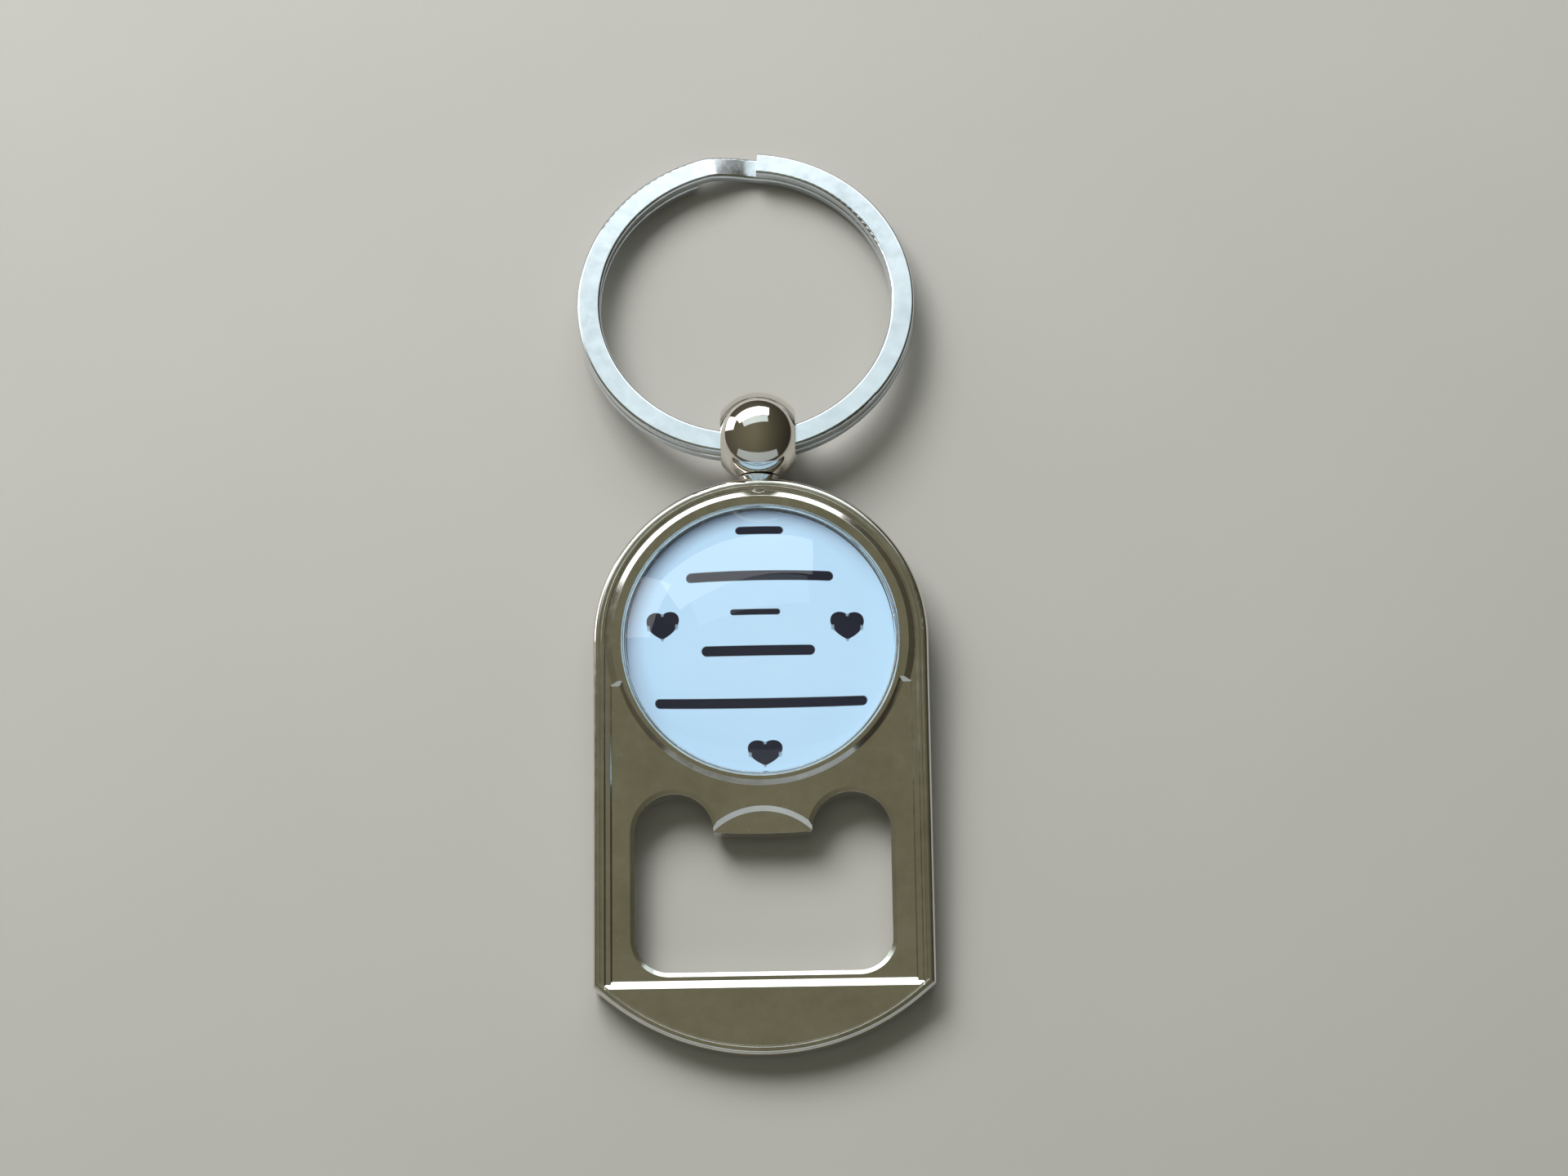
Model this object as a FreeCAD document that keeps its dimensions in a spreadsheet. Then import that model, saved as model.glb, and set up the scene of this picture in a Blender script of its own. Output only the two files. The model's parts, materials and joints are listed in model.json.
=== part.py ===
import FreeCAD, Part
import math
import os
import Sketcher

# Keychain bottle opener with a glass-domed picture, a swivelling ball head and a split ring.
# Millimetres and degrees. The finished part lies on a table at z = 0, with +Y running from the
# opener's lower end to the split ring. Each sub-part is drawn in the opener's own flat frame
# (origin under the centre of the glass, plate back at z = 0) and then leaned onto the table.

doc = FreeCAD.newDocument("bottle_opener_keychain")

PARAMETERS = [
    # the plate
    ("body_width", 31.0),
    ("plate_thickness", 3.0),
    ("shoulder_drop", 32.1),
    ("bottom_arc_radius", 22.2),
    ("outer_round", 0.55),
    ("back_round", 0.3),
    ("wall_slope", 30.0),
    ("panel_slope", 45.0),
    ("tongue_slope", 50.0),
    # the raised rim and the sunk front panel
    ("step_half_width", 14.46),
    ("step_depth", 0.2),
    ("panel_half_width", 14.2),
    ("panel_floor", 2.66),
    ("panel_top_drop", 3.8),
    ("panel_foot_drop", 32.06),
    ("ridge_half_width", 13.88),
    ("ridge_top_drop", 32.35),
    ("ridge_foot_drop", 31.62),
    ("strip_foot_drop", 31.92),
    ("step_foot_drop", 32.04),
    ("bead_outer_offset", 0.64),
    ("bead_inner_offset", 0.78),
    ("bead_groove_depth", 0.1),
    # the cap mouth
    ("mouth_half_width", 11.7),
    ("mouth_bottom_drop", 30.85),
    ("mouth_corner_radius", 3.1),
    ("lobe_radius", 3.6),
    ("lobe_drop", 18.0),
    ("tongue_edge_radius", 70.0),
    ("mouth_bevel_width", 0.42),
    ("mouth_bevel_drop", 0.16),
    ("tongue_step_radius", 6.9),
    ("tongue_step_drop", 22.5),
    ("tongue_step_depth", 0.4),
    # the tray that holds the picture and the glass
    ("tray_radius", 12.6),
    ("tray_floor", 1.5),
    ("lip_top", 3.1),
    ("lip_inner_edge", 2.85),
    ("lip_crown_inner", 12.9),
    ("lip_crown_outer", 13.7),
    ("lip_outer_radius", 14.32),
    ("lip_outer_edge", 2.8),
    ("lip_side_radius", 13.3),
    ("glue_radius", 12.3),
    ("glue_film", 0.08),
    ("disc_radius", 12.4),
    ("disc_thickness", 0.2),
    ("glass_radius", 12.5),
    ("glass_edge", 1.2),
    ("glass_rise", 4.3),
    # the ball head on its rivet
    ("ball_radius", 4.3),
    ("ball_centre", 19.75),
    ("ring_hole_radius", 2.35),
    ("ring_hole_round", 0.12),
    ("seat_gap", 0.15),
    ("neck_radius", 1.45),
    ("neck_root", 14.0),
    ("neck_waist", 15.25),
    ("neck_rim_radius", 2.3),
    ("neck_rim", 16.1),
    ("rivet_radius", 0.9),
    ("rivet_clearance", 0.06),
    ("rivet_tip", 13.2),
    ("rivet_head_radius", 1.4),
    ("rivet_head_underside", 3.0),
    ("rivet_head_top", 2.4),
    # the split ring
    ("ring_outer_radius", 16.05),
    ("ring_wire_width", 2.2),
    ("ring_wire_thickness", 1.15),
    ("ring_coil_gap", 0.06),
    ("ring_wire_round", 0.28),
    ("ring_hole_offset", 14.05),
    ("ring_turned", 4.5),
    ("ring_upper_end", 81.0),
    ("ring_ramp_start", 100.5),
    ("ring_ramp_end", 81.6),
    ("ring_ramp_bend", 0.2),
    ("ring_lower_end", 105.0),
]

sheet = doc.addObject("Spreadsheet::Sheet", "params")
VALUES = {}
for row, (alias, number) in enumerate(PARAMETERS, start=1):
    sheet.set("A%d" % row, alias)
    sheet.set("B%d" % row, str(number))
    sheet.setAlias("B%d" % row, alias)
doc.recompute()
for alias, number in PARAMETERS:
    VALUES[alias] = float(sheet.get(alias))


def val(alias):
    return VALUES[alias]


def vec(x, y, z=0.0):
    return FreeCAD.Vector(x, y, z)


# ---------------------------------------------------------------------------------------------
# how the finished keychain lies on the table

BALL_AXIS_HEIGHT = val("plate_thickness") / 2
BOTTOM_TIP = val("shoulder_drop") + val("bottom_arc_radius") - math.sqrt(
    val("bottom_arc_radius") ** 2 - (val("body_width") / 2) ** 2)
RING_HALF_STACK = val("ring_wire_thickness") + val("ring_coil_gap") / 2


def solve_lean(rise, reach, level):
    """Angle a, in degrees, with level * cos(a) + reach * sin(a) = rise."""
    span = math.hypot(reach, level)
    return math.degrees(math.asin(rise / span) - math.atan2(level, reach))


# The ball is thicker than the plate, so the plate rests on its rounded lower end and on the ball.
BACK_ROUND = val("back_round")
TIP_CENTRE = BOTTOM_TIP - BACK_ROUND
BODY_LEAN = solve_lean(val("ball_radius") - BACK_ROUND, val("ball_centre") + TIP_CENTRE,
                       BALL_AXIS_HEIGHT - BACK_ROUND)
# The ring hangs from the ball's hole and its far end lies on the table.
WIRE_ROUND = val("ring_wire_round")
RING_REACH = val("ring_hole_offset") * math.cos(math.radians(val("ring_turned"))) + val(
    "ring_outer_radius")
RING_LEAN = -solve_lean(val("ball_radius") - WIRE_ROUND, RING_REACH - WIRE_ROUND,
                        RING_HALF_STACK - WIRE_ROUND)

lean_rad = math.radians(BODY_LEAN)
ring_rad = math.radians(RING_LEAN)
turn_rad = math.radians(val("ring_turned"))
PLATE_LIFT = TIP_CENTRE * math.sin(lean_rad) + BACK_ROUND * (1 - math.cos(lean_rad))
BALL_Y = val("ball_centre") * math.cos(lean_rad) - BALL_AXIS_HEIGHT * math.sin(lean_rad)
RING_X = -val("ring_hole_offset") * math.sin(turn_rad)
RING_Y = BALL_Y + val("ring_hole_offset") * math.cos(turn_rad) * math.cos(ring_rad)
RING_Z = val("ball_radius") + val("ring_hole_offset") * math.cos(turn_rad) * math.sin(ring_rad)

# The frame's origin is under the middle of the bounding box.
LEFT_EDGE = RING_X - val("ring_outer_radius")
RIGHT_EDGE = val("body_width") / 2
LOWER_EDGE = -((BOTTOM_TIP - val("outer_round")) * math.cos(lean_rad)
               + (val("plate_thickness") - val("outer_round")) * math.sin(lean_rad)
               + val("outer_round"))
UPPER_EDGE = (RING_Y + (val("ring_outer_radius") - WIRE_ROUND) * math.cos(ring_rad)
              - (RING_HALF_STACK - WIRE_ROUND) * math.sin(ring_rad) + WIRE_ROUND)
SHIFT = vec(-(LEFT_EDGE + RIGHT_EDGE) / 2, -(LOWER_EDGE + UPPER_EDGE) / 2, PLATE_LIFT)

BODY_PLACEMENT = FreeCAD.Placement(SHIFT, FreeCAD.Rotation(vec(1, 0, 0), BODY_LEAN))
RING_ROTATION = FreeCAD.Rotation(vec(1, 0, 0), RING_LEAN).multiply(
    FreeCAD.Rotation(vec(0, 0, 1), val("ring_turned")))
RING_PLACEMENT = FreeCAD.Placement(
    vec(SHIFT.x + RING_X, SHIFT.y + RING_Y, RING_Z), RING_ROTATION)


# ---------------------------------------------------------------------------------------------
# helpers

def origin_plane(body, role):
    for item in body.Origin.OriginFeatures:
        if item.Role == role:
            return item
    raise ValueError(role)


def new_sketch(body, name, role, height_alias=None, height_formula=None):
    sketch = body.newObject("Sketcher::SketchObject", name)
    sketch.AttachmentSupport = [(origin_plane(body, role), "")]
    sketch.MapMode = "FlatFace"
    if height_alias is not None:
        sketch.setExpression("AttachmentOffset.Base.z", "params." + height_alias)
    if height_formula is not None:
        sketch.setExpression("AttachmentOffset.Base.z", height_formula)
    return sketch


def dimension(sketch, name, constraint, formula):
    index = sketch.addConstraint(constraint)
    sketch.renameConstraint(index, name)
    sketch.setExpression("Constraints." + name, formula)


def line(sketch, start, end):
    return sketch.addGeometry(Part.LineSegment(vec(*start), vec(*end)), False)


def arc(sketch, centre, radius, first, last):
    circle = Part.Circle(vec(*centre), vec(0, 0, 1), radius)
    return sketch.addGeometry(
        Part.ArcOfCircle(circle, math.radians(first), math.radians(last)), False)


def rule(sketch, kind, *where):
    sketch.addConstraint(Sketcher.Constraint(kind, *where))


def feature(body, kind, name, sketch):
    item = body.newObject("PartDesign::" + kind, name)
    item.Profile = sketch
    sketch.Visibility = False
    return item


def blind_pocket(body, name, sketch, depth_formula, slope_formula=None):
    before = body.Shape.Volume
    pocket = feature(body, "Pocket", name, sketch)
    pocket.Type = "Length"
    pocket.setExpression("Length", depth_formula)
    if slope_formula is not None:
        pocket.setExpression("TaperAngle", slope_formula)
    doc.recompute()
    if not body.Shape.Volume < before - 1e-4:
        raise RuntimeError(name + " cuts nothing")
    return pocket


def polygon(sketch, points):
    """A closed run of straight edges through the points."""
    edges = []
    for index, point in enumerate(points):
        edges.append(line(sketch, point, points[(index + 1) % len(points)]))
    for index, edge in enumerate(edges):
        rule(sketch, "Coincident", edge, 2, edges[(index + 1) % len(edges)], 1)
    return edges


def locate(sketch, edge, end, name, x_formula=None, y_formula=None):
    """Ties one end of an edge to sheet values, measured from the sketch's origin."""
    point = sketch.getPoint(edge, end)
    if x_formula is not None:
        order = (-1, 1, edge, end) if point.x > 0 else (edge, end, -1, 1)
        dimension(sketch, name + "_x",
                  Sketcher.Constraint("DistanceX", *order, abs(point.x)), x_formula)
    if y_formula is not None:
        order = (-1, 1, edge, end) if point.y > 0 else (edge, end, -1, 1)
        dimension(sketch, name + "_y",
                  Sketcher.Constraint("DistanceY", *order, abs(point.y)), y_formula)


# ---------------------------------------------------------------------------------------------
# opener body

def arch_loop(sketch, tag, half_width, drop, width_formula, drop_formula):
    """Half-round top about the origin, straight sides and a straight lower edge."""
    top = arc(sketch, (0, 0), half_width, 0, 180)
    left = line(sketch, (-half_width, 0), (-half_width, -drop))
    foot = line(sketch, (-half_width, -drop), (half_width, -drop))
    right = line(sketch, (half_width, -drop), (half_width, 0))
    rule(sketch, "Coincident", top, 3, -1, 1)
    rule(sketch, "Tangent", top, 2, left, 1)
    rule(sketch, "Coincident", left, 2, foot, 1)
    rule(sketch, "Coincident", foot, 2, right, 1)
    rule(sketch, "Tangent", right, 2, top, 1)
    rule(sketch, "Vertical", left)
    rule(sketch, "Vertical", right)
    rule(sketch, "Horizontal", foot)
    dimension(sketch, tag + "_radius", Sketcher.Constraint("Radius", top, half_width),
              width_formula)
    dimension(sketch, tag + "_drop", Sketcher.Constraint("DistanceY", left, 2, -1, 1, drop),
              drop_formula)


def outline_loop(sketch, tag, inset, inset_formula):
    """The plate's outline, moved in by a distance: a half-round top and a rounded lower end."""
    half_width = val("body_width") / 2 - inset
    radius = val("bottom_arc_radius") - inset
    centre_y = -val("shoulder_drop") + math.sqrt(
        val("bottom_arc_radius") ** 2 - (val("body_width") / 2) ** 2)
    drop = -centre_y + math.sqrt(radius ** 2 - half_width ** 2)
    swing = math.degrees(math.asin(half_width / radius))
    top = arc(sketch, (0, 0), half_width, 0, 180)
    left = line(sketch, (-half_width, 0), (-half_width, -drop))
    foot = arc(sketch, (0, centre_y), radius, 270 - swing, 270 + swing)
    right = line(sketch, (half_width, -drop), (half_width, 0))
    rule(sketch, "Coincident", top, 3, -1, 1)
    rule(sketch, "Tangent", top, 2, left, 1)
    rule(sketch, "Coincident", left, 2, foot, 1)
    rule(sketch, "Coincident", foot, 2, right, 1)
    rule(sketch, "Tangent", right, 2, top, 1)
    rule(sketch, "Vertical", left)
    rule(sketch, "Vertical", right)
    rule(sketch, "PointOnObject", foot, 3, -2)
    dimension(sketch, tag + "_half_width", Sketcher.Constraint("Radius", top, half_width),
              "params.body_width / 2" + inset_formula)
    dimension(sketch, tag + "_foot_radius", Sketcher.Constraint("Radius", foot, radius),
              "params.bottom_arc_radius" + inset_formula)
    dimension(sketch, tag + "_foot_centre",
              Sketcher.Constraint("DistanceY", foot, 3, -1, 1, -centre_y),
              "params.shoulder_drop - sqrt(params.bottom_arc_radius ^ 2"
              " - (params.body_width / 2) ^ 2)")


def mouth_loop(sketch):
    """The cap mouth: two round lobes beside the tongue, straight sides and round corners."""
    half = val("mouth_half_width")
    corner = val("mouth_corner_radius")
    lobe = val("lobe_radius")
    low = -val("mouth_bottom_drop")
    high = -val("lobe_drop")
    tongue_half = half - 2 * lobe
    tongue = val("tongue_edge_radius")
    swing = math.degrees(math.asin(tongue_half / tongue))
    tongue_centre = high + math.sqrt(tongue ** 2 - tongue_half ** 2)
    foot = line(sketch, (-half + corner, low), (half - corner, low))
    corner_right = arc(sketch, (half - corner, low + corner), corner, 270, 360)
    right = line(sketch, (half, low + corner), (half, high))
    lobe_right = arc(sketch, (half - lobe, high), lobe, 0, 180)
    edge = arc(sketch, (0, tongue_centre), tongue, 270 - swing, 270 + swing)
    lobe_left = arc(sketch, (-half + lobe, high), lobe, 0, 180)
    left = line(sketch, (-half, high), (-half, low + corner))
    corner_left = arc(sketch, (-half + corner, low + corner), corner, 180, 270)
    rule(sketch, "Tangent", foot, 2, corner_right, 1)
    rule(sketch, "Tangent", corner_right, 2, right, 1)
    rule(sketch, "Tangent", right, 2, lobe_right, 1)
    rule(sketch, "Coincident", lobe_right, 2, edge, 2)
    rule(sketch, "Coincident", edge, 1, lobe_left, 1)
    rule(sketch, "Tangent", lobe_left, 2, left, 1)
    rule(sketch, "Tangent", left, 2, corner_left, 1)
    rule(sketch, "Tangent", corner_left, 2, foot, 1)
    rule(sketch, "Horizontal", foot)
    rule(sketch, "Vertical", left)
    rule(sketch, "Vertical", right)
    rule(sketch, "Horizontal", lobe_right, 3, lobe_right, 2)
    rule(sketch, "Horizontal", lobe_left, 3, lobe_left, 1)
    rule(sketch, "Equal", corner_right, corner_left)
    rule(sketch, "Equal", lobe_right, lobe_left)
    rule(sketch, "Horizontal", lobe_left, 3, lobe_right, 3)
    dimension(sketch, "mouth_right", Sketcher.Constraint("DistanceX", -1, 1, right, 1, half),
              "params.mouth_half_width")
    dimension(sketch, "mouth_left", Sketcher.Constraint("DistanceX", left, 1, -1, 1, half),
              "params.mouth_half_width")
    dimension(sketch, "mouth_low", Sketcher.Constraint("DistanceY", foot, 1, -1, 1, -low),
              "params.mouth_bottom_drop")
    dimension(sketch, "mouth_high",
              Sketcher.Constraint("DistanceY", lobe_right, 3, -1, 1, -high), "params.lobe_drop")
    dimension(sketch, "corner", Sketcher.Constraint("Radius", corner_right, corner),
              "params.mouth_corner_radius")
    dimension(sketch, "lobe", Sketcher.Constraint("Radius", lobe_right, lobe),
              "params.lobe_radius")
    dimension(sketch, "tongue_edge", Sketcher.Constraint("Radius", edge, tongue),
              "params.tongue_edge_radius")


def panel_loop(sketch):
    """The sunk panel below the tray: straight sides, a straight foot and a hollow round top."""
    half = val("panel_half_width")
    drop = val("panel_foot_drop")
    radius = val("lip_side_radius")
    high = -val("panel_top_drop")
    reach = math.sqrt(radius ** 2 - high ** 2)
    swing = math.degrees(math.asin(reach / radius))
    top = arc(sketch, (0, 0), radius, 270 - swing, 270 + swing)
    left_end = line(sketch, (-reach, high), (-half, high))
    left = line(sketch, (-half, high), (-half, -drop))
    foot = line(sketch, (-half, -drop), (half, -drop))
    right = line(sketch, (half, -drop), (half, high))
    right_end = line(sketch, (half, high), (reach, high))
    rule(sketch, "Coincident", top, 3, -1, 1)
    rule(sketch, "Coincident", top, 1, left_end, 1)
    rule(sketch, "Coincident", left_end, 2, left, 1)
    rule(sketch, "Coincident", left, 2, foot, 1)
    rule(sketch, "Coincident", foot, 2, right, 1)
    rule(sketch, "Coincident", right, 2, right_end, 1)
    rule(sketch, "Coincident", right_end, 2, top, 2)
    rule(sketch, "Horizontal", left_end)
    rule(sketch, "Horizontal", right_end)
    rule(sketch, "Vertical", left)
    rule(sketch, "Vertical", right)
    rule(sketch, "Horizontal", foot)
    dimension(sketch, "left_top", Sketcher.Constraint("DistanceY", left, 1, -1, 1, -high),
              "params.panel_top_drop")
    dimension(sketch, "right_top", Sketcher.Constraint("DistanceY", right, 2, -1, 1, -high),
              "params.panel_top_drop")
    dimension(sketch, "top_radius", Sketcher.Constraint("Radius", top, radius),
              "params.lip_side_radius")
    dimension(sketch, "left_side", Sketcher.Constraint("DistanceX", left, 2, -1, 1, half),
              "params.panel_half_width")
    dimension(sketch, "right_side", Sketcher.Constraint("DistanceX", -1, 1, right, 1, half),
              "params.panel_half_width")
    dimension(sketch, "foot_drop", Sketcher.Constraint("DistanceY", left, 2, -1, 1, drop),
              "params.panel_foot_drop")


def circle_loop(sketch, tag, centre_y, radius, radius_formula, drop_formula=None):
    index = sketch.addGeometry(Part.Circle(vec(0, centre_y), vec(0, 0, 1), radius), False)
    if drop_formula is None:
        rule(sketch, "Coincident", index, 3, -1, 1)
    else:
        rule(sketch, "PointOnObject", index, 3, -2)
        dimension(sketch, tag + "_drop",
                  Sketcher.Constraint("DistanceY", index, 3, -1, 1, -centre_y), drop_formula)
    dimension(sketch, tag + "_radius", Sketcher.Constraint("Radius", index, radius),
              radius_formula)


def edges_where(shape, test):
    names = []
    for index, edge in enumerate(shape.Edges, start=1):
        if test(edge, edge.BoundBox):
            names.append("Edge%d" % index)
    return names


def on_outline(edge, middle_height):
    """True for an edge that follows the plate's outer outline at one height."""
    box = edge.BoundBox
    if box.ZMax - box.ZMin > 1e-4 or abs(box.ZMin - middle_height) > 1e-4:
        return False
    half = val("body_width") / 2
    span = (edge.LastParameter - edge.FirstParameter) / 2
    middle = edge.valueAt(edge.FirstParameter + span)
    if middle.y >= 0:
        return abs(math.hypot(middle.x, middle.y) - half) < 1e-3
    beside = abs(abs(middle.x) - half) < 1e-3
    return beside or middle.y < -val("shoulder_drop") - 1


def in_mouth(edge, height):
    box = edge.BoundBox
    if box.ZMax - box.ZMin > 1e-4 or abs(box.ZMin - height) > 1e-4:
        return False
    inside = max(abs(box.XMin), abs(box.XMax)) <= val("mouth_half_width") + 1e-3
    above = box.YMax <= -val("lobe_drop") + val("lobe_radius") + 1e-3
    return inside and above and box.YMin >= -val("mouth_bottom_drop") - 1e-3


def make_opener_body():
    body = doc.addObject("PartDesign::Body", "opener_body")
    body.Label = "opener_body"

    outline = new_sketch(body, "plate_outline", "XY_Plane")
    outline_loop(outline, "plate", 0.0, "")
    doc.recompute()
    plate = feature(body, "Pad", "plate", outline)
    plate.setExpression("Length", "params.plate_thickness")
    doc.recompute()

    rounding = body.newObject("PartDesign::Fillet", "outer_rounding")
    rounding.Base = (plate, edges_where(
        plate.Shape, lambda e, box: on_outline(e, val("plate_thickness"))))
    rounding.setExpression("Radius", "params.outer_round")
    doc.recompute()
    back = body.newObject("PartDesign::Fillet", "back_rounding")
    back.Base = (rounding, edges_where(rounding.Shape, lambda e, box: on_outline(e, 0.0)))
    back.setExpression("Radius", "params.back_round")
    doc.recompute()

    step = new_sketch(body, "rim_step_outline", "XY_Plane", "plate_thickness")
    arch_loop(step, "step", val("step_half_width"), val("step_foot_drop"),
              "params.step_half_width", "params.step_foot_drop")
    blind_pocket(body, "rim_step", step, "params.step_depth", "-params.wall_slope")

    lip = new_sketch(body, "lip_profile", "XZ_Plane")
    points = [
        (val("tray_radius"), val("tray_floor")),
        (val("lip_outer_radius"), val("tray_floor")),
        (val("lip_outer_radius"), val("lip_outer_edge")),
        (val("lip_crown_outer"), val("lip_top")),
        (val("lip_crown_inner"), val("lip_top")),
        (val("tray_radius"), val("lip_inner_edge")),
    ]
    edges = polygon(lip, points)
    names = [
        ("tray_radius", "tray_floor"),
        ("lip_outer_radius", "tray_floor"),
        ("lip_outer_radius", "lip_outer_edge"),
        ("lip_crown_outer", "lip_top"),
        ("lip_crown_inner", "lip_top"),
        ("tray_radius", "lip_inner_edge"),
    ]
    for index, (x_name, y_name) in enumerate(names):
        locate(lip, edges[index], 1, "corner%d" % index, "params." + x_name, "params." + y_name)
    doc.recompute()
    ring = feature(body, "Revolution", "bezel_lip", lip)
    ring.ReferenceAxis = (lip, ["V_Axis"])
    ring.Angle = 360
    doc.recompute()

    panel = new_sketch(body, "panel_outline", "XY_Plane", "lip_top")
    panel_loop(panel)
    blind_pocket(body, "panel", panel, "params.lip_top - params.panel_floor",
                 "-params.panel_slope")
    cut_ridge(body, "strip_ridge", "step_half_width", "strip_foot_drop",
              val("plate_thickness") - val("step_depth"),
              "params.plate_thickness - params.step_depth")
    cut_ridge(body, "panel_ridge", "ridge_half_width", "ridge_foot_drop",
              val("panel_floor"), "params.panel_floor")

    groove = new_sketch(body, "bead_groove_outline", "XY_Plane", "plate_thickness")
    outline_loop(groove, "outer", val("bead_outer_offset"), " - params.bead_outer_offset")
    outline_loop(groove, "inner", val("bead_inner_offset"), " - params.bead_inner_offset")
    blind_pocket(body, "bead_groove", groove, "params.bead_groove_depth")

    mouth = new_sketch(body, "mouth_outline", "XY_Plane", "plate_thickness")
    mouth_loop(mouth)
    cut = blind_pocket(body, "cap_mouth", mouth, "params.plate_thickness")

    bevel = body.newObject("PartDesign::Chamfer", "mouth_bevel")
    bevel.Base = (cut, edges_where(cut.Shape, lambda e, box: in_mouth(e, val("panel_floor"))))
    bevel.ChamferType = "Two distances"
    bevel.setExpression("Size", "params.mouth_bevel_drop")
    bevel.setExpression("Size2", "params.mouth_bevel_width")
    doc.recompute()

    tongue = new_sketch(body, "tongue_step_outline", "XY_Plane", "panel_floor")
    circle_loop(tongue, "step", -val("tongue_step_drop"), val("tongue_step_radius"),
                "params.tongue_step_radius", "params.tongue_step_drop")
    blind_pocket(body, "tongue_step", tongue, "params.tongue_step_depth",
                 "-params.tongue_slope")

    tray = new_sketch(body, "tray_outline", "XY_Plane", "lip_top")
    circle_loop(tray, "tray", 0.0, val("tray_radius"), "params.tray_radius")
    blind_pocket(body, "tray", tray, "params.lip_top - params.tray_floor")

    make_neck(body)
    make_rivet_bore(body)
    body.Placement = BODY_PLACEMENT
    return body


def cut_ridge(body, name, width_alias, foot_alias, floor, floor_formula):
    """Slopes one sunk floor up to the plain lower end of the plate."""
    crest = -val("ridge_top_drop")
    foot = -val(foot_alias)
    sketch = new_sketch(body, name + "_profile", "YZ_Plane")
    edges = polygon(sketch, [(crest, val("plate_thickness")), (foot, floor),
                             (foot, val("lip_top")), (crest, val("lip_top"))])
    rule(sketch, "Vertical", edges[1])
    rule(sketch, "Horizontal", edges[2])
    rule(sketch, "Vertical", edges[3])
    locate(sketch, edges[0], 1, "crest", "params.ridge_top_drop", "params.plate_thickness")
    locate(sketch, edges[1], 1, "foot", "params." + foot_alias, floor_formula)
    locate(sketch, edges[2], 1, "head", None, "params.lip_top")
    doc.recompute()
    before = body.Shape.Volume
    slope = feature(body, "Pocket", name, sketch)
    slope.Type = "Length"
    slope.Midplane = True
    slope.setExpression("Length", "2 * params." + width_alias)
    doc.recompute()
    if not body.Shape.Volume < before - 1e-4:
        raise RuntimeError(name + " cuts nothing")


def make_neck(body):
    """The short stem that flares towards the ball, and the hollow seat turned into its end."""
    sketch = new_sketch(body, "neck_profile", "XY_Plane",
                        height_formula="params.plate_thickness / 2")
    edges = polygon(sketch, [
        (0, val("neck_rim")),
        (0, val("neck_root")),
        (val("neck_radius"), val("neck_root")),
        (val("neck_radius"), val("neck_waist")),
        (val("neck_rim_radius"), val("neck_rim")),
    ])
    rule(sketch, "PointOnObject", edges[0], 1, -2)
    rule(sketch, "PointOnObject", edges[1], 1, -2)
    rule(sketch, "Horizontal", edges[1])
    rule(sketch, "Vertical", edges[2])
    rule(sketch, "Horizontal", edges[4])
    locate(sketch, edges[2], 1, "root", "params.neck_radius", "params.neck_root")
    locate(sketch, edges[3], 1, "waist", None, "params.neck_waist")
    locate(sketch, edges[4], 1, "rim", "params.neck_rim_radius", "params.neck_rim")
    doc.recompute()
    neck = feature(body, "Revolution", "neck", sketch)
    neck.ReferenceAxis = (sketch, ["V_Axis"])
    neck.Angle = 360
    doc.recompute()

    before = body.Shape.Volume
    hollow = new_sketch(body, "ball_seat_profile", "XY_Plane",
                        height_formula="params.plate_thickness / 2")
    centre = val("ball_centre")
    reach = val("ball_radius") + val("seat_gap")
    axis = line(hollow, (0, centre + reach), (0, centre - reach))
    bowl = arc(hollow, (0, centre), reach, 270, 450)
    rule(hollow, "Coincident", axis, 2, bowl, 1)
    rule(hollow, "Coincident", bowl, 2, axis, 1)
    rule(hollow, "PointOnObject", axis, 1, -2)
    rule(hollow, "PointOnObject", axis, 2, -2)
    rule(hollow, "PointOnObject", bowl, 3, -2)
    dimension(hollow, "bowl_centre", Sketcher.Constraint("DistanceY", -1, 1, bowl, 3, centre),
              "params.ball_centre")
    dimension(hollow, "bowl_radius", Sketcher.Constraint("Radius", bowl, reach),
              "params.ball_radius + params.seat_gap")
    doc.recompute()
    seat = feature(body, "Groove", "ball_seat", hollow)
    seat.ReferenceAxis = (hollow, ["V_Axis"])
    seat.Angle = 360
    doc.recompute()
    if not body.Shape.Volume < before - 1e-4:
        raise RuntimeError("ball seat cuts nothing")


def make_rivet_bore(body):
    before = body.Shape.Volume
    sketch = new_sketch(body, "rivet_bore_profile", "XY_Plane",
                        height_formula="params.plate_thickness / 2")
    edges = polygon(sketch, [
        (0, val("ball_centre")),
        (0, val("rivet_tip")),
        (val("rivet_radius"), val("rivet_tip")),
        (val("rivet_radius"), val("ball_centre")),
    ])
    rule(sketch, "PointOnObject", edges[0], 1, -2)
    rule(sketch, "PointOnObject", edges[1], 1, -2)
    rule(sketch, "Horizontal", edges[1])
    rule(sketch, "Vertical", edges[2])
    rule(sketch, "Horizontal", edges[3])
    locate(sketch, edges[2], 1, "tip", "params.rivet_radius", "params.rivet_tip")
    locate(sketch, edges[3], 1, "mouth", None, "params.ball_centre")
    doc.recompute()
    bore = feature(body, "Groove", "rivet_bore", sketch)
    bore.ReferenceAxis = (sketch, ["V_Axis"])
    bore.Angle = 360
    doc.recompute()
    if not body.Shape.Volume < before - 1e-4:
        raise RuntimeError("rivet bore cuts nothing")


# ---------------------------------------------------------------------------------------------
# picture, glue films and glass

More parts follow.
